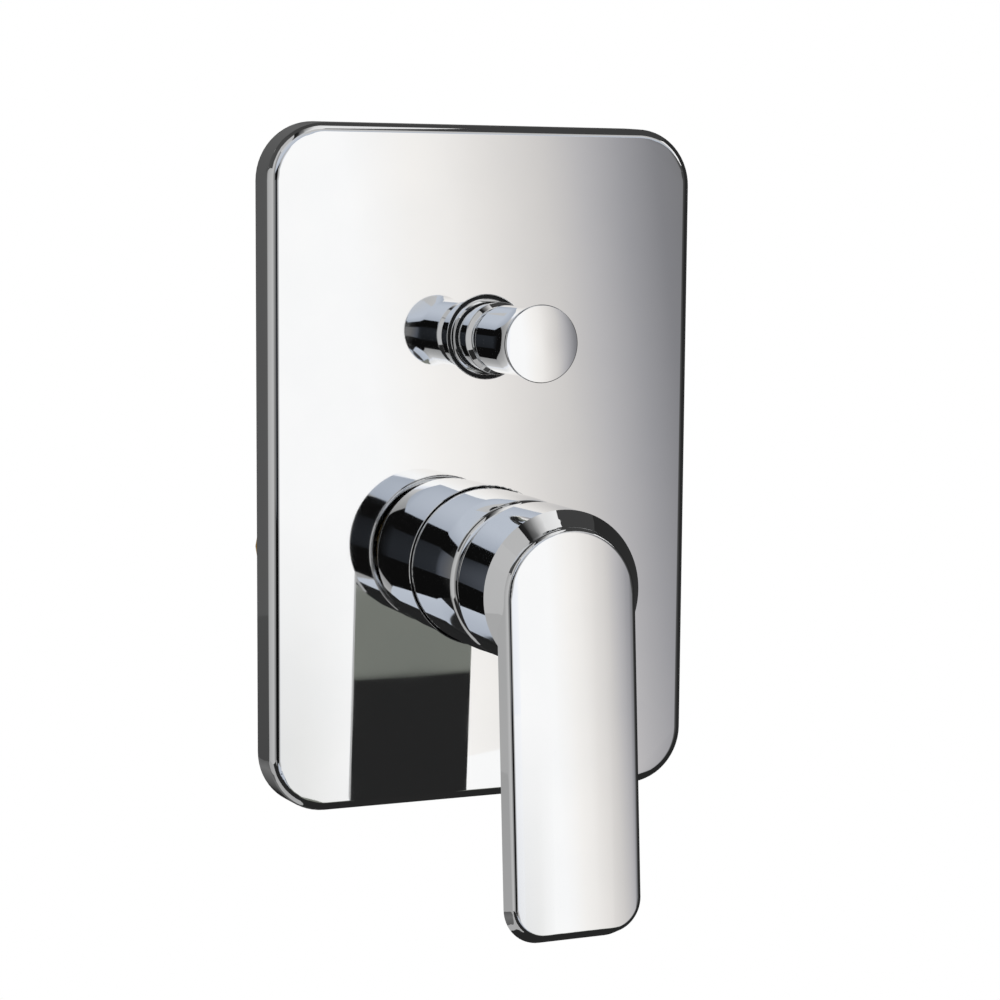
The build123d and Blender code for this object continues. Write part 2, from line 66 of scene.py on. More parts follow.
# %% [markdown]
# ## Colours and nodes
# Paint charts and screens give colours as sRGB hex values, while a shader works in linear light, so one
# function converts them. A second one adds any kind of node with its settings and its links, which keeps
# the recipes below as short as a list of ingredients. A third starts a material whose patterns are placed
# by Object coordinates, so that they stay on a piece when it moves.

# %% Colour and node helpers
def tint(code):
    parts = [int(code[i : i + 2], 16) / 255 for i in (1, 3, 5)]
    return (*[c / 12.92 if c <= 0.04045 else ((c + 0.055) / 1.055) ** 2.4 for c in parts], 1.0)


def add(tree, kind, inputs=None, **settings):
    made = tree.nodes.new(kind)
    for name, value in settings.items():
        setattr(made, name, value)
    for name, value in (inputs or {}).items():
        if isinstance(value, bpy.types.NodeSocket):
            tree.links.new(value, made.inputs[name])
        else:
            made.inputs[name].default_value = value
    return made


def start_finish(name):
    finish = bpy.data.materials.new(name)
    finish.use_nodes = True
    tree = finish.node_tree
    tree.nodes.clear()
    place = add(tree, "ShaderNodeTexCoord").outputs["Object"]
    shader = add(tree, "ShaderNodeBsdfPrincipled")
    add(tree, "ShaderNodeOutputMaterial", {"Surface": shader.outputs["BSDF"]})
    return finish, tree, place, shader


print("mid grey in linear light", round(tint("#808080")[0], 3))

# %% [markdown]
# ## Polished chrome
# The plate, sleeve, lever and knob are brass or zinc castings, polished on cloth wheels and plated with
# nickel and chrome. The eye gets a nearly perfect mirror, so almost all of the look comes from what
# stands round it. What tells it from a computed mirror is small: the buffing leaves the surface very
# slightly wavy over a few centimetres, and handling leaves faint patches where the mirror is a touch
# softer.

# %% Chrome
BUFFING_WAVE = 45 * MM
# A height of 8 micrometres over 45 millimetres bends a reflection by about a thousandth of a radian
WAVE_HEIGHT = 0.008 * MM
HAZE_PATCH = 18 * MM


def polished_chrome():
    finish, tree, place, shader = start_finish("chrome_plating_polished")
    wave = add(tree, "ShaderNodeTexNoise", {"Vector": place, "Scale": 1 / BUFFING_WAVE, "Detail": 1.0})
    haze = add(tree, "ShaderNodeTexNoise", {"Vector": place, "Scale": 1 / HAZE_PATCH, "Detail": 4.0})
    soft = add(
        tree,
        "ShaderNodeMapRange",
        {"Value": haze.outputs["Fac"], "From Min": 0.35, "From Max": 0.75, "To Min": 0.018, "To Max": 0.045},
    )
    tone = add(
        tree,
        "ShaderNodeMix",
        {"Factor": haze.outputs["Fac"], "A": tint("#FBFBFB"), "B": tint("#F4F5F6")},
        data_type="RGBA",
    )
    buffed = add(
        tree,
        "ShaderNodeBump",
        {"Height": wave.outputs["Fac"], "Strength": 1.0, "Distance": WAVE_HEIGHT},
    )
    tree.links.new(tone.outputs["Result"], shader.inputs["Base Color"])
    tree.links.new(soft.outputs["Result"], shader.inputs["Roughness"])
    tree.links.new(buffed.outputs["Normal"], shader.inputs["Normal"])
    shader.inputs["Metallic"].default_value = 1.0
    return finish


chrome = polished_chrome()
print("made", chrome.name)

# %% [markdown]
# ## Cast brass
# The valve body is a casting that is left as it comes from the mould, apart from its threads. It has a
# fine pebbled skin, a warm colour and dull patches of oxide. Oxide is no metal, so one pattern drives the
# colour, the roughness and the Metallic value together: where the skin is dull it scatters light like
# paint.

# %% Cast brass
CAST_PEBBLE = 0.9 * MM
PEBBLE_HEIGHT = 0.12 * MM
OXIDE_PATCH = 14 * MM


def cast_brass():
    finish, tree, place, shader = start_finish("brass_die_cast")
    skin = add(tree, "ShaderNodeTexNoise", {"Vector": place, "Scale": 1 / CAST_PEBBLE, "Detail": 5.0})
    oxide = add(tree, "ShaderNodeTexNoise", {"Vector": place, "Scale": 1 / OXIDE_PATCH, "Detail": 6.0})
    dull = add(
        tree,
        "ShaderNodeMapRange",
        {"Value": oxide.outputs["Fac"], "From Min": 0.42, "From Max": 0.66, "To Min": 0.0, "To Max": 1.0},
    )
    tone = add(
        tree,
        "ShaderNodeMix",
        {"Factor": dull.outputs["Result"], "A": tint("#C9A55E"), "B": tint("#A98446")},
        data_type="RGBA",
    )
    rough = add(
        tree,
        "ShaderNodeMapRange",
        {"Value": oxide.outputs["Fac"], "From Min": 0.3, "From Max": 0.7, "To Min": 0.34, "To Max": 0.52},
    )
    bare = add(
        tree,
        "ShaderNodeMapRange",
        {"Value": oxide.outputs["Fac"], "From Min": 0.3, "From Max": 0.7, "To Min": 0.7, "To Max": 0.3},
    )
    pebbles = add(
        tree,
        "ShaderNodeBump",
        {"Height": skin.outputs["Fac"], "Strength": 0.55, "Distance": PEBBLE_HEIGHT},
    )
    tree.links.new(tone.outputs["Result"], shader.inputs["Base Color"])
    tree.links.new(rough.outputs["Result"], shader.inputs["Roughness"])
    tree.links.new(bare.outputs["Result"], shader.inputs["Metallic"])
    tree.links.new(pebbles.outputs["Normal"], shader.inputs["Normal"])
    return finish


brass_cast = cast_brass()
print("made", brass_cast.name)

# %% [markdown]
# ## Turned brass and ground steel
# The nut, bonnet, stem and poppet are turned from brass bar, and the pin, spindle and spring are steel.
# They are brighter than the casting and carry the fine rings of the cutting tool, which run round the
# axis. Rings are 0.2 mm apart on the real part and 0.5 mm here, so that they still show.

# %% Turned metals
RING_GAP = 0.5 * MM
RING_HEIGHT = 0.02 * MM
STAIN_PATCH = 6 * MM
# A wave texture runs through 20 radians in one unit, so one ring is 2 pi / 20 units wide
WAVE_UNIT = 2 * math.pi / 20


def turned_metal(name, light, dark, gloss):
    finish, tree, place, shader = start_finish(name)
    rings = add(
        tree,
        "ShaderNodeTexWave",
        {"Vector": place, "Scale": WAVE_UNIT / RING_GAP, "Distortion": 0.4, "Detail": 1.0},
        wave_type="BANDS",
        bands_direction="Y",
    )
    stains = add(tree, "ShaderNodeTexNoise", {"Vector": place, "Scale": 1 / STAIN_PATCH, "Detail": 4.0})
    tone = add(
        tree,
        "ShaderNodeMix",
        {"Factor": stains.outputs["Fac"], "A": tint(light), "B": tint(dark)},
        data_type="RGBA",
    )
    rough = add(
        tree,
        "ShaderNodeMapRange",
        {
            "Value": stains.outputs["Fac"],
            "From Min": 0.3,
            "From Max": 0.7,
            "To Min": gloss,
            "To Max": gloss + 0.1,
        },
    )
    cut = add(
        tree,
        "ShaderNodeBump",
        {"Height": rings.outputs["Fac"], "Strength": 0.25, "Distance": RING_HEIGHT},
    )
    tree.links.new(tone.outputs["Result"], shader.inputs["Base Color"])
    tree.links.new(rough.outputs["Result"], shader.inputs["Roughness"])
    tree.links.new(cut.outputs["Normal"], shader.inputs["Normal"])
    shader.inputs["Metallic"].default_value = 1.0
    return finish


brass_turned = turned_metal("brass_turned", "#D9B96E", "#C6A257", 0.18)
steel_ground = turned_metal("stainless_steel_ground", "#BFC1C3", "#A7A9AC", 0.2)
print("made", brass_turned.name, steel_ground.name)

# %% [markdown]
# ## Rubber, foam, plastics and ceramic
# Seals are black nitrile rubber with a dull moulded skin. The gasket behind the plate is closed-cell
# foam, in which the cut cells show as small pits. The cartridge is moulded acetal, white outside and grey
# inside, and its two discs are lapped alumina, off-white and smooth. All of them reflect a little and
# scatter most of the light, so one recipe serves with other colours, grain sizes and gloss.

# %% Matt finishes
SKIN_PATCH = 9 * MM


def moulded(name, light, dark, grain_mm, height_mm, low, high, cells=False):
    finish, tree, place, shader = start_finish(name)
    kind = "ShaderNodeTexVoronoi" if cells else "ShaderNodeTexNoise"
    grain = add(tree, kind, {"Vector": place, "Scale": 1 / (grain_mm * MM)})
    patch = add(tree, "ShaderNodeTexNoise", {"Vector": place, "Scale": 1 / SKIN_PATCH, "Detail": 5.0})
    tone = add(
        tree,
        "ShaderNodeMix",
        {"Factor": patch.outputs["Fac"], "A": tint(light), "B": tint(dark)},
        data_type="RGBA",
    )
    rough = add(
        tree,
        "ShaderNodeMapRange",
        {"Value": patch.outputs["Fac"], "From Min": 0.3, "From Max": 0.7, "To Min": low, "To Max": high},
    )
    skin = add(
        tree,
        "ShaderNodeBump",
        {"Height": grain.outputs[0], "Strength": 0.5, "Distance": height_mm * MM},
    )
    tree.links.new(tone.outputs["Result"], shader.inputs["Base Color"])
    tree.links.new(rough.outputs["Result"], shader.inputs["Roughness"])
    tree.links.new(skin.outputs["Normal"], shader.inputs["Normal"])
    return finish


rubber = moulded("nitrile_rubber_moulded", "#141516", "#1D1E1F", 0.5, 0.02, 0.5, 0.65)
foam = moulded("closed_cell_foam_cut", "#2C2D30", "#3A3B3E", 0.7, 0.15, 0.8, 0.95, cells=True)
white_acetal = moulded("acetal_white_moulded", "#E9E7E1", "#DEDBD3", 0.8, 0.01, 0.3, 0.42)
grey_acetal = moulded("acetal_grey_moulded", "#54575C", "#464A4F", 0.8, 0.01, 0.32, 0.45)
alumina = moulded("alumina_lapped", "#EEE9DD", "#E4DECF", 0.4, 0.003, 0.12, 0.2)
print("made", [m.name for m in (rubber, foam, white_acetal, grey_acetal, alumina)])

# %% [markdown]
# ## Finishes onto the solids
# The record says which material slot each solid has. Each slot has one finish here, and only brass is
# split into the cast body and the turned pieces.

# %% Hand out the finishes
finish_of_slot = {
    "chrome": chrome,
    "brass": brass_turned,
    "steel": steel_ground,
    "rubber": rubber,
    "foam": foam,
    "white_plastic": white_acetal,
    "grey_plastic": grey_acetal,
    "ceramic": alumina,
}
for row in frame["record"]["subparts"]:
    solid = nodes[row["node"]]
    is_casting = row["node"] == "valve_body"
    solid.data.materials.clear()
    solid.data.materials.append(brass_cast if is_casting else finish_of_slot[row["material_slot"]])

# %% [markdown]
# ## From a bmesh to a piece
# Every new piece ends in the same way. Edges sharper than a crease angle stay sharp and all others are
# shaded smoothly, with normals that lean to the larger faces. The piece then gets its finish, rides on
# the body that it moves with, and stands in for a solid where it is a finer copy of one.

# %% Piece helpers
def as_piece(name, bm, crease=28):
    for face in bm.faces:
        face.smooth = True
    for edge in bm.edges:
        edge.smooth = edge.calc_face_angle(0.0) < math.radians(crease)
    mesh = bpy.data.meshes.new(name)
    bm.to_mesh(mesh)
    bm.free()
    piece = bpy.data.objects.new(name, mesh)
    bpy.context.scene.collection.objects.link(piece)
    even = piece.modifiers.new("even_shading", "WEIGHTED_NORMAL")
    even.keep_sharp = True
    return piece


def dress(piece, finish, body, node=None):
    piece.data.materials.append(finish)
    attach(piece, body)
    if node:
        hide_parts(node)
    print(piece.name, len(piece.data.polygons), "faces")


def axis_height(node):
    low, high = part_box(node)
    return (low.z + high.z) / 2


for node in ("sleeve", "knob_collar"):
    print(node, "has its axis at a height in mm of", round(axis_height(node) / MM, 2))

# %% [markdown]
# ## Turned parts
# The sleeve, the collar and the knob are turned on a lathe, and a lathe is what the spin operator is:
# half of the section is drawn as a wire and swept round the axis. Corners are rounded while the section
# is still a wire, because a bevel on a vertex of a wire is a plain arc. The solids are made of flat
# strips, which a mirror finish gives away along the outline, so these three get 160 steps instead. A
# section is a list of radius and reach in millimetres, where reach is the distance in front of the wall.

# %% Lathe
LATHE_STEPS = 160
ARC_SEGMENTS = 10
LATHE_MERGE = 0.0005 * MM


def on_lathe(name, section, rounds, height):
    bm = bmesh.new()
    dots = [bm.verts.new((r * MM, -reach * MM, height)) for r, reach in section]
    for a, b in zip(dots, dots[1:]):
        bm.edges.new((a, b))
    # A section that starts away from the axis is a ring, so its wire is closed
    if section[0][0] > 0:
        bm.edges.new((dots[-1], dots[0]))
    for corner, width in rounds:
        bmesh.ops.bevel(
            bm,
            geom=[dots[corner]],
            offset=width * MM,
            offset_type="OFFSET",
            affect="VERTICES",
            segments=ARC_SEGMENTS,
            profile=0.5,
            material=-1,
        )
    bmesh.ops.spin(
        bm,
        geom=bm.verts[:] + bm.edges[:],
        cent=(0, 0, height),
        axis=(0, -1, 0),
        angle=2 * math.pi,
        steps=LATHE_STEPS,
        use_merge=True,
    )
    bmesh.ops.remove_doubles(bm, verts=bm.verts[:], dist=LATHE_MERGE)
    bmesh.ops.recalc_face_normals(bm, faces=bm.faces[:])
    return as_piece(name, bm)


def turned_sizes(node):
    low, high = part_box(node)
    return high.x / MM, -high.y / MM, -low.y / MM


print("lathe turns in", LATHE_STEPS, "steps")

# %% [markdown]
# Polishing on a cloth wheel takes a little off near a free end, so the sleeve doesn't run straight up to
# its lip. It eases inwards over the last few millimetres, which is what turns the hard bands in it into
# soft ones.

# %% Sleeve
SLEEVE_WALL = 1.75
LIP_WIDTH = 4.35
LIP_DEPTH = 4.4
EASE_IN = 0.55
EASE_LENGTH = 7.5
rim, back, front = turned_sizes("sleeve")
sleeve_section = [
    (rim - SLEEVE_WALL, back),
    (rim, back),
    (rim, front - EASE_LENGTH),
    (rim - EASE_IN, front),
    (rim - LIP_WIDTH, front),
    (rim - LIP_WIDTH, front - LIP_DEPTH),
    (rim - SLEEVE_WALL, front - LIP_DEPTH),
]
sleeve_rounds = [(2, 5.5), (3, 2.6), (4, 0.4)]
sleeve = on_lathe("turned_sleeve", sleeve_section, sleeve_rounds, axis_height("sleeve"))
dress(sleeve, chrome, "fixed_body", "sleeve")

# %% [markdown]
# The collar guides the knob. Its front edge is bevelled, and a small foot at the plate covers the inner
# part of the rubber ring, so that only a thin black line of rubber is left to see.

# %% Collar
GUIDE_BORE = 7.55
FRONT_BORE = 8.5
BORE_STEP = 14.0
COLLAR_BEVEL = 1.3
FOOT_WIDTH = 0.75
FOOT_BACK, FOOT_EDGE, FOOT_FRONT = 11.12, 11.8, 12.0
rim, back, front = turned_sizes("knob_collar")
collar_section = [
    (GUIDE_BORE, back),
    (rim, back),
    (rim, FOOT_BACK),
    (rim + FOOT_WIDTH, FOOT_BACK),
    (rim + FOOT_WIDTH, FOOT_EDGE),
    (rim, FOOT_FRONT),
    (rim, front - COLLAR_BEVEL),
    (rim - COLLAR_BEVEL, front),
    (FRONT_BORE, front),
    (FRONT_BORE, BORE_STEP),
    (GUIDE_BORE, BORE_STEP),
]
collar_rounds = [(7, 0.15), (6, 0.25), (4, 0.3)]
collar = on_lathe("turned_collar", collar_section, collar_rounds, axis_height("knob_collar"))
dress(collar, chrome, "fixed_body", "knob_collar")

# %% [markdown]
# The knob's face is very slightly domed and ends in a crisp rim, and behind the rim it narrows like a
# trumpet, which gives the fingers a hold. A wide bevel between two nearly straight lines of the section
# makes the dome.

# %% Knob
NECK_R = 8.42
CHAMFER_R = 8.9
BARREL_R = 9.8
BARREL_BACK, BARREL_START, FLARE_START = 25.2, 27.4, 45.6
RIM_BACK, RIM_FRONT = 1.5, 0.6
FACE_FLAT_R = 5.4
rim, back, front = turned_sizes("diverter_knob")
knob_section = [
    (0.0, back),
    (NECK_R, back),
    (NECK_R, BARREL_BACK),
    (CHAMFER_R, BARREL_BACK),
    (BARREL_R, BARREL_START),
    (BARREL_R, FLARE_START),
    (rim, front - RIM_BACK),
    (rim, front - RIM_FRONT),
    (FACE_FLAT_R, front),
    (0.0, front),
]
knob_rounds = [(8, 5.2), (7, 0.4), (5, 5.0), (4, 0.3)]
knob = on_lathe("turned_knob", knob_section, knob_rounds, axis_height("diverter_knob"))
dress(knob, chrome, "diverter", "diverter_knob")

# %% [markdown]
# ## Polished castings
# The plate, the lever and the body arrive as flat facets a few degrees apart, and a mirror shows each of
# them. A copy of each is merged into one skin, and the shading then runs smoothly over every edge that is
# shallower than a real one. The large flat faces keep their own direction, so that the plate stays a flat
# mirror.

# %% Smooth the plate, the lever and the body
SKIN_MERGE = 0.001 * MM
FACET_ANGLE = 20
LARGE_FACES_WIN = 100


def smooth_copy(node, name, finish, body):
    bm = bmesh.new()
    bm.from_mesh(nodes[node].data)
    bmesh.ops.remove_doubles(bm, verts=bm.verts[:], dist=SKIN_MERGE)
    piece = as_piece(name, bm, crease=FACET_ANGLE)
    piece.modifiers["even_shading"].weight = LARGE_FACES_WIN
    dress(piece, finish, body, node)


smooth_copy("cover_plate", "polished_plate", chrome, "fixed_body")
smooth_copy("lever", "polished_lever", chrome, "handle")
smooth_copy("valve_body", "cast_body", brass_cast, "fixed_body")

# %% [markdown]
# ## Pipe threads
# The four sockets of the body take half inch pipes with fourteen turns to the inch. The solid has plain
# walls there, so a ridge is wound inside each: a small triangle is spun and moved along the axis at the
# same time, which is how a screw grows.

# %% Wind a thread into each socket
PITCH = 25.4 / 14
THREAD_TURNS = 6.0
STEPS_PER_TURN = 48
SOCKET_R = 9.29
RIDGE_HEIGHT = 0.55
RIDGE_HALF = 0.42 * PITCH


def socket_thread(name, mouth, direction):
    bm = bmesh.new()
    ridge = ((SOCKET_R, -RIDGE_HALF), (SOCKET_R - RIDGE_HEIGHT, 0.0), (SOCKET_R, RIDGE_HALF))
    bm.faces.new([bm.verts.new((r * MM, 0, z * MM)) for r, z in ridge])
    steps = int(THREAD_TURNS * STEPS_PER_TURN)
    bmesh.ops.spin(
        bm,
        geom=bm.verts[:] + bm.edges[:] + bm.faces[:],
        cent=(0, 0, 0),
        axis=(0, 0, 1),
        dvec=(0, 0, -THREAD_TURNS * PITCH * MM / steps),
        angle=-THREAD_TURNS * 2 * math.pi,
        steps=steps,
    )
    bmesh.ops.recalc_face_normals(bm, faces=bm.faces[:])
    turn = Vector((0, 0, 1)).rotation_difference(Vector(direction)).to_matrix().to_4x4()
    bmesh.ops.transform(bm, matrix=Matrix.Translation(Vector(mouth) * MM) @ turn, verts=bm.verts[:])
    return as_piece(name, bm, crease=40)


for name, mouth, direction in (
    ("thread_inlet_left", (-50.5, 34.0, -29.3), (-1, 0, 0)),
    ("thread_inlet_right", (50.5, 34.0, -29.3), (1, 0, 0)),
    ("thread_outlet_top", (0.0, 20.0, 84.5), (0, 0, 1)),
    ("thread_outlet_bottom", (0.0, 42.0, -84.5), (0, 0, -1)),
):
    dress(socket_thread(name, mouth, direction), brass_turned, "fixed_body")

# %% [markdown]
# ## Return spring
# A coil of steel wire sits on the spindle and pushes the knob home. Its front end rests on the wall of
# the bonnet and its back end on a shoulder that moves with the knob, so it can ride on neither body
# alone. The wire is wound in the same way as the threads.

# %% Wind the spring
SPRING_TURNS = 6
WIRE_R = 0.45 * MM
WIRE_SIDES = 12
low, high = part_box("diverter_spring")
coil_axis = axis_height("diverter_spring")
coil_r = (high.x - low.x) / 2 - WIRE_R
spring_back, spring_front = high.y - WIRE_R, low.y + WIRE_R
steps = SPRING_TURNS * STEPS_PER_TURN
bm = bmesh.new()
bmesh.ops.create_circle(bm, cap_ends=True, segments=WIRE_SIDES, radius=WIRE_R)
bmesh.ops.translate(bm, verts=bm.verts[:], vec=(coil_r, spring_back, coil_axis))
bmesh.ops.spin(
    bm,
    geom=bm.verts[:] + bm.edges[:] + bm.faces[:],
    cent=(0, 0, coil_axis),
    axis=(0, -1, 0),
    dvec=(0, (spring_front - spring_back) / steps, 0),
    angle=SPRING_TURNS * 2 * math.pi,
    steps=steps,
)
bmesh.ops.recalc_face_normals(bm, faces=bm.faces[:])
spring = as_piece("wound_spring", bm, crease=50)
spring.data.materials.append(steel_ground)
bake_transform(spring)
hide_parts("diverter_spring")
print(spring.name, len(spring.data.polygons), "faces")

# %% [markdown]
# ## Camera
# The camera was found by fitting the plate's outline and the round parts to the picture: it stands 0.7 m
# away, a little to the left and slightly above, and leans by less than half a degree.

# %% Place the camera
TARGET = Vector((3.355, -15.0, -9.561)) * MM
AZIMUTH, ELEVATION, ROLL = (math.radians(v) for v in (-22.351, 6.721, 0.447))
DISTANCE = 0.70415
FOCAL_LENGTH = 86.13
SENSOR = 36.0
away = Vector(
    (math.sin(AZIMUTH) * math.cos(ELEVATION), -math.cos(AZIMUTH) * math.cos(ELEVATION), math.sin(ELEVATION))
)
lens = bpy.data.cameras.new("camera")
lens.lens = FOCAL_LENGTH
lens.sensor_width = SENSOR
lens.clip_start = 10 * MM
camera = bpy.data.objects.new("camera", lens)
camera.location = TARGET + away * DISTANCE
camera.rotation_mode = "QUATERNION"
camera.rotation_quaternion = away.to_track_quat("Z", "Y") @ Quaternion((0, 0, 1), ROLL)
bpy.context.scene.collection.objects.link(camera)
bpy.context.scene.camera = camera
print("camera at mm", [round(v / MM, 1) for v in camera.location])

# %% [markdown]
# ## Studio
# The world is plain white to the camera and to mirrors. Matt surfaces get less of it, so that pale
# plastics keep their colour, and one large soft lamp from the upper left gives them shape.

# %% World
FILL_STRENGTH = 0.6
world = bpy.data.worlds.new("studio")
bpy.context.scene.world = world
world.use_nodes = True
sky = world.node_tree
sky.nodes.clear()
path = add(sky, "ShaderNodeLightPath").outputs
seen = add(sky, "ShaderNodeMath", {0: path["Is Camera Ray"], 1: path["Is Glossy Ray"]}, operation="MAXIMUM")
seen = add(sky, "ShaderNodeMath", {0: seen.outputs[0], 1: path["Is Transmission Ray"]}, operation="MAXIMUM")
fill = add(sky, "ShaderNodeBackground", {"Color": tint("#F4F6F8"), "Strength": FILL_STRENGTH})
white = add(sky, "ShaderNodeBackground", {"Color": tint("#FFFFFF"), "Strength": 1.0})
mixed = add(sky, "ShaderNodeMixShader", {0: seen.outputs[0], 1: fill.outputs[0], 2: white.outputs[0]})
add(sky, "ShaderNodeOutputWorld", {"Surface": mixed.outputs[0]})
print("world is up")

# %% Lamp
LAMP_SIDE = 0.9
LAMP_POWER = 9.0
lamp = bpy.data.lights.new("soft_lamp", "AREA")
lamp.shape = "RECTANGLE"
lamp.size, lamp.size_y, lamp.energy = LAMP_SIDE, LAMP_SIDE, LAMP_POWER
lamp_stand = bpy.data.objects.new("soft_lamp", lamp)
lamp_stand.location = (-0.8, -1.0, 1.1)
lamp_stand.rotation_mode = "QUATERNION"
lamp_stand.rotation_quaternion = Vector(lamp_stand.location).to_track_quat("Z", "Y")
lamp_stand.visible_glossy = False
bpy.context.scene.collection.objects.link(lamp_stand)
print("lamp of", LAMP_POWER, "watts")

# %% [markdown]
# The mixer hangs on a wall, so the floor is a small pale disc that stays below the frame of the picture
# and only shows in views from higher up.

# %% Floor
FLOOR_R = 0.36
FLOOR_HEIGHT = -0.30
FLOOR_MOTTLE = 30 * MM
floor_finish, tree, place, shader = start_finish("pale_floor")
mottle = add(tree, "ShaderNodeTexNoise", {"Vector": place, "Scale": 1 / FLOOR_MOTTLE})
tone = add(
    tree,
    "ShaderNodeMix",
    {"Factor": mottle.outputs["Fac"], "A": tint("#FAFAFA"), "B": tint("#F4F4F4")},
    data_type="RGBA",
)
tree.links.new(tone.outputs["Result"], shader.inputs["Base Color"])
shader.inputs["Roughness"].default_value = 0.9
bm = bmesh.new()
bmesh.ops.create_circle(bm, cap_ends=True, segments=96, radius=FLOOR_R)
bmesh.ops.translate(bm, verts=bm.verts[:], vec=(0, 0, FLOOR_HEIGHT))
floor_mesh = bpy.data.meshes.new("floor")
bm.to_mesh(floor_mesh)
bm.free()
floor = bpy.data.objects.new("floor", floor_mesh)
floor.data.materials.append(floor_finish)
bpy.context.scene.collection.objects.link(floor)
print("floor of", FLOOR_R, "m radius")

# %% [markdown]
# ## Cards
# A mirror needs something to mirror, so photographers of chrome stand cards round the object. Each card
# here is a flat sheet that only reflections see. It starts at a corner, and its tone runs along its first
# edge by a list of places and levels. A card gives light rather than having a colour, so a level is
# linear: 1 is white.

# %% Card helper
def card(name, corner, along, across, stops, fade=0.0):
    bm = bmesh.new()
    bm.loops.layers.uv.new("UVMap")
    bmesh.ops.create_grid(bm, x_segments=1, y_segments=1, size=0.5, calc_uvs=True)
    along, across = Vector(along), Vector(across)
    middle = Vector(corner) + (along + across) / 2
    frame_of_card = Matrix((along, across, along.cross(across).normalized())).transposed().to_4x4()
    bmesh.ops.transform(bm, matrix=Matrix.Translation(middle) @ frame_of_card, verts=bm.verts[:])
    mesh = bpy.data.meshes.new(name)
    bm.to_mesh(mesh)
    bm.free()
    sheet = bpy.data.objects.new(name, mesh)
    sheet.data.materials.append(card_glow(name, stops, fade))
    sheet.visible_camera = sheet.visible_diffuse = False
    sheet.visible_shadow = sheet.visible_transmission = False
    bpy.context.scene.collection.objects.link(sheet)
    print("card", name)


def card_glow(name, stops, fade):
    glow = bpy.data.materials.new(name)
    glow.use_nodes = True
    tree = glow.node_tree
    tree.nodes.clear()
    run = add(tree, "ShaderNodeSeparateXYZ", {0: add(tree, "ShaderNodeTexCoord").outputs["UV"]})
    ramp = add(tree, "ShaderNodeValToRGB", {"Fac": run.outputs["X"]})
    steps = ramp.color_ramp.elements
    while len(steps) < len(stops):
        steps.new(0.5)
    for step, (where, level) in zip(steps, stops):
        step.position = where
        step.color = (*level, 1.0) if isinstance(level, tuple) else (level, level, level, 1.0)
    light = add(tree, "ShaderNodeEmission", {"Color": ramp.outputs["Color"], "Strength": 1.0}).outputs[0]
    if fade:
        clear = add(tree, "ShaderNodeBsdfTransparent").outputs[0]
        edge = add(
            tree,
            "ShaderNodeMapRange",
            {"Value": run.outputs["Y"], "From Min": 1 - fade, "From Max": 1.0, "To Min": 0.0, "To Max": 1.0},
        )
        light = add(tree, "ShaderNodeMixShader", {0: edge.outputs["Result"], 1: light, 2: clear}).outputs[0]
    add(tree, "ShaderNodeOutputMaterial", {"Surface": light})
    return glow


print("cards can be put up")

# %% [markdown]
# The plate's face mirrors what stands to the right of the camera, so the run from white to grey over the
# plate is the run of tone on a slanted card there. Its two left strips start higher up than the rest.
# Through that opening the back of the lever mirrors a dull card further away, which is why its image in
# the plate is dark.

# %% Cards on the right
SLANT = math.radians(7.4)
SLANT_FOOT = Vector((0.10, -0.40, -0.45)) + 0.45 * math.sin(SLANT) * Vector((1, 0, 0))
SLANT_HEIGHT = 0.59
CREAM = (0.895, 0.873, 0.848)
WARM_GREY = (0.65, 0.63, 0.615)


def slanted_card(name, start, length, rise, stops):
    right = Vector((math.cos(SLANT), 0, math.sin(SLANT)))
    up = Vector((-math.sin(SLANT), 0, math.cos(SLANT)))
    corner = SLANT_FOOT + start * right + rise * up
    card(name, corner, length * right, (SLANT_HEIGHT - rise) * up, stops)


to_cream = [(0.0, 1.0), (0.625, (0.945, 0.925, 0.90)), (1.0, CREAM)]
to_warm_grey = [(0.0, CREAM), (0.362, (0.81, 0.785, 0.76)), (1.0, WARM_GREY)]
to_dark = [
    (0.0, WARM_GREY),
    (0.0411, (0.495, 0.485, 0.495)),
    (0.0821, (0.345, 0.342, 0.36)),
    (0.119, (0.235, 0.235, 0.25)),
    (0.2024, 0.14),
    (0.3095, 0.06),
    (1.0, 0.04),
]
slanted_card("card_right_front", 0.0, 0.048, 0.267, to_cream)
slanted_card("card_right_middle", 0.048, 0.048, 0.25, to_warm_grey)
slanted_card("card_right_side", 0.096, 0.504, 0.0, to_dark)
card("card_right", (0.70, -0.42, -0.6), (0, 1.7, 0), (0, 0, 1.25), [(0.0, 0.02), (1.0, 0.035)])

# %% [markdown]
# Cards overhead tone the top of the plate's edge and of the lever's bevel. Most of them are nearly black,
# which draws the dark outlines, and the one in front grows lighter to the right and makes the lit patch
# on the bevel.

# %% Cards above
ROOF = 0.62
card("card_above", (0.20, -0.75, ROOF), (0.56, 0, 0), (0, 1.75, 0), [(0.0, 0.05), (1.0, 0.05)])
card("card_above_middle", (-0.30, -0.11, 0.61), (0.50, 0, 0), (0, 0.6, 0), [(0.0, 0.05), (1.0, 0.05)])
card(
    "card_above_left",
    (-0.62, -0.6, ROOF),
    (0, 1.6, 0),
    (0.38, 0, 0),
    [(0.0, 0.5), (0.281, 0.48), (0.29, 0.06)],
)
card(
    "card_above_front",
    (-0.24, -0.75, ROOF),
    (0.44, 0, 0),
    (0, 0.65, 0),
    [(0.0, 0.01), (0.13, 0.02), (0.32, 0.2), (0.6, 0.75), (1.0, 0.85)],
)

# %% [markdown]
# The left bevel of the lever and the left wall of the plate mirror the left side of the studio. The bevel
# is an even light grey and the wall a darker one, so the card there darkens towards the back.

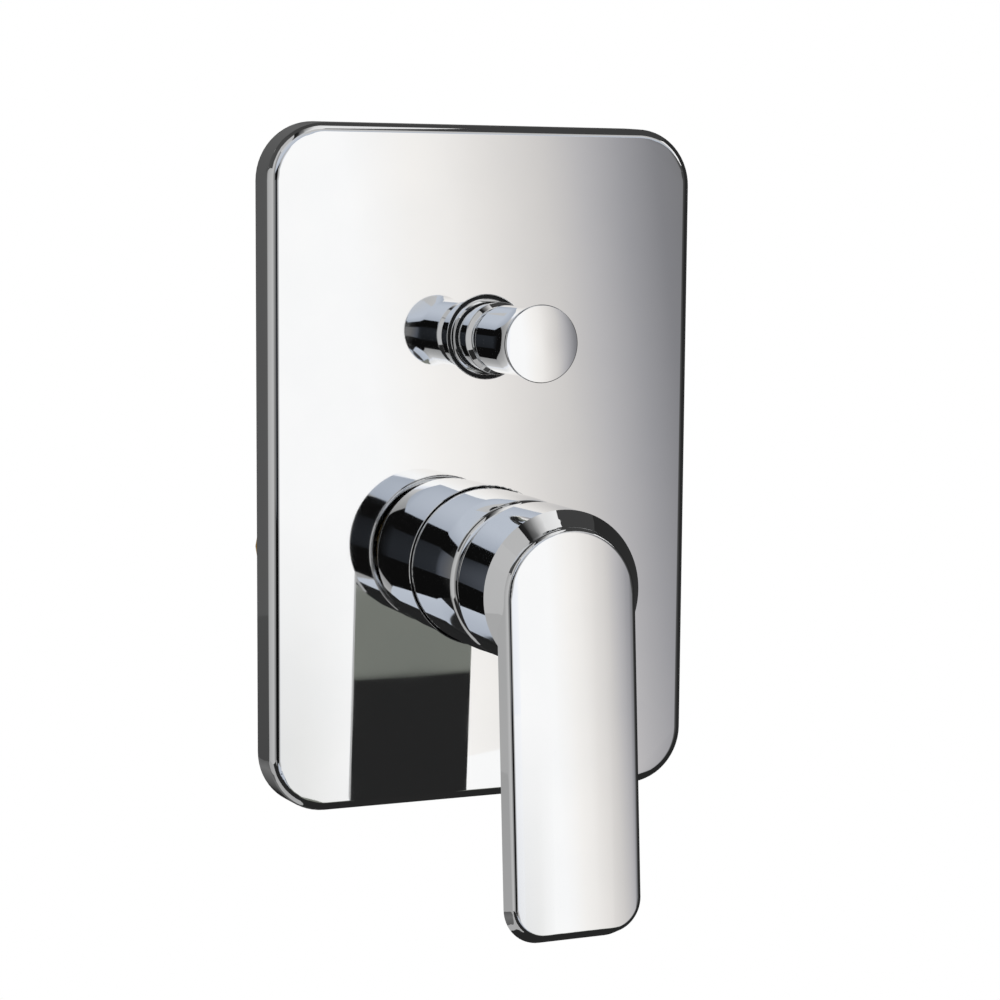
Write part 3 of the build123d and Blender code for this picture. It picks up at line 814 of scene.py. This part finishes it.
# %% Cards on the left
card(
    "card_left",
    (-0.60, -0.40, -0.5),
    (0, 1.7, 0),
    (0, 0, 0.75),
    [(0.0, 0.5), (0.1, 0.5), (0.35, 0.44), (0.6, 0.38), (0.8, 0.2), (0.95, 0.09)],
)
card("card_left_front", (-0.61, -0.72, -0.5), (0, 0.32, 0), (0, 0, 1.15), [(0.0, 0.25), (1.0, 0.32)])
card(
    "card_left_high",
    (-0.60, -0.40, 0.25),
    (0, 1.7, 0),
    (0, 0, 0.4),
    [(0.0, 0.52), (0.147, 0.5), (0.16, 0.06), (1.0, 0.08)],
)

# %% [markdown]
# The sleeve and the knob are seen almost along their axis, so their round sides mirror a ring on the
# front wall of the studio. Where the camera stands that wall is dark, and above and below it is pale blue
# like a window. That is the black band between two light ones.

# %% Cards round the camera
FRONT_WALL = -0.72
card(
    "card_camera",
    (-0.62, FRONT_WALL, -0.11),
    (0.50, 0, 0),
    (0, 0, 0.21),
    [(0.0, 0.2), (0.3, 0.15), (0.5, (0.08, 0.088, 0.105)), (0.6, (0.022, 0.025, 0.03)), (0.85, 0.004)],
)
to_black = [(0.0, 0.15), (0.3, 0.02), (0.5, 0.004)]
card("card_camera_high", (-0.62, FRONT_WALL, 0.10), (0.50, 0, 0), (0, 0, 0.11), to_black)
card("card_camera_foot", (-0.62, FRONT_WALL, -0.28), (0.50, 0, 0), (0, 0, 0.17), to_black)
card(
    "card_front_middle",
    (-0.12, FRONT_WALL, -0.28),
    (0.25, 0, 0),
    (0, 0, 0.49),
    [(0.0, 0.3), (0.42, 0.42), (0.78, 0.6), (0.86, (0.80, 0.83, 0.9)), (1.0, (0.95, 0.965, 1.0))],
)

# %% Cards on the front wall, above the camera
PALE_BLUE = (0.53, 0.575, 0.65)
card(
    "card_front_high",
    (-0.62, FRONT_WALL, 0.21),
    (0, 0, 0.13),
    (1.3, 0, 0),
    [(0.0, (0.40, 0.44, 0.51)), (0.7, PALE_BLUE)],
)
card(
    "card_front_top_left",
    (-0.62, FRONT_WALL, 0.34),
    (0, 0, 0.4),
    (0.62, 0, 0),
    [(0.0, PALE_BLUE), (1.0, 0.6)],
)
card(
    "card_front_top_right",
    (0.0, FRONT_WALL, 0.34),
    (0, 0, 0.8),
    (0.8, 0, 0),
    [(0.0, 0.55), (0.3, 0.5), (0.55, 0.05)],
)

# %% Cards on the front wall, below the camera
card(
    "card_camera_low",
    (-0.62, FRONT_WALL, -0.38),
    (0.35, 0, 0),
    (0, 0, 0.10),
    [(0.0, 0.4), (0.5, 0.1), (0.75, 0.012)],
)
card(
    "card_front_low",
    (-0.27, FRONT_WALL, -0.28),
    (0, 0, -0.10),
    (0.39, 0, 0),
    [(0.0, PALE_BLUE), (1.0, (0.45, 0.49, 0.56))],
)
card("card_front_bottom", (-0.62, FRONT_WALL, -0.38), (0, 0, -0.5), (0.74, 0, 0), [(0.0, 0.05), (0.3, 0.02)])
card(
    "card_front_foot",
    (0.10, FRONT_WALL, -0.34),
    (0.11, 0, 0),
    (0, 0, 0.24),
    [(0.0, (0.76, 0.77, 0.79)), (0.6, (0.84, 0.84, 0.83)), (1.0, 0.99)],
    fade=0.6,
)

# %% [markdown]
# What lies below tones the underside of the plate and of the lever, and the lowest part of the plate's
# left wall. The first of these cards is the dull one that the back of the lever mirrors. The last one
# stands behind and keeps the wall of the plate from mirroring plain white.

# %% Cards below and behind
GREY_GREEN = (0.20, 0.21, 0.185)
LOW = -0.255
card(
    "card_low_front",
    (0.06, -0.70, -0.65),
    (0.45, 0, 0),
    (0, 0, 0.365),
    [(0.0, GREY_GREEN), (1.0, GREY_GREEN)],
)
card("card_low", (-0.55, -0.45, -0.26), (1.2, 0, 0), (0, 1.3, 0), [(0.0, 0.02), (1.0, 0.02)])
card("card_low_left", (-0.55, -0.12, LOW), (0, 0.17, 0), (0.48, 0, 0), [(0.0, 0.40), (1.0, 0.40)])
card("card_low_far_left", (-0.59, 0.05, LOW), (0, 0.5, 0), (0.29, 0, 0), [(0.0, 0.38), (1.0, 0.34)])
card(
    "card_low_rear",
    (-0.30, 0.05, -0.2545),
    (0.30, 0, 0),
    (0, 0.51, 0),
    [(0.0, 0.10), (0.37, 0.16), (0.77, 0.08), (1.0, 0.01)],
)
card(
    "card_low_wall",
    (-0.59, 0.56, -0.2545),
    (0.59, 0, 0),
    (0, 0.6, 0),
    [(0.0, 0.07), (0.6, 0.06), (0.9, 0.02)],
)
card("card_back", (-0.6, 1.25, -0.5), (1.5, 0, 0), (0, 0, 2.0), [(0.0, 0.09), (0.5, 0.12), (1.0, 0.05)])

# %% [markdown]
# ## Close
# The picture uses the plain view transform, so a colour shows as it was written.

# %% Plain view transform
bpy.context.scene.view_settings.view_transform = "Standard"
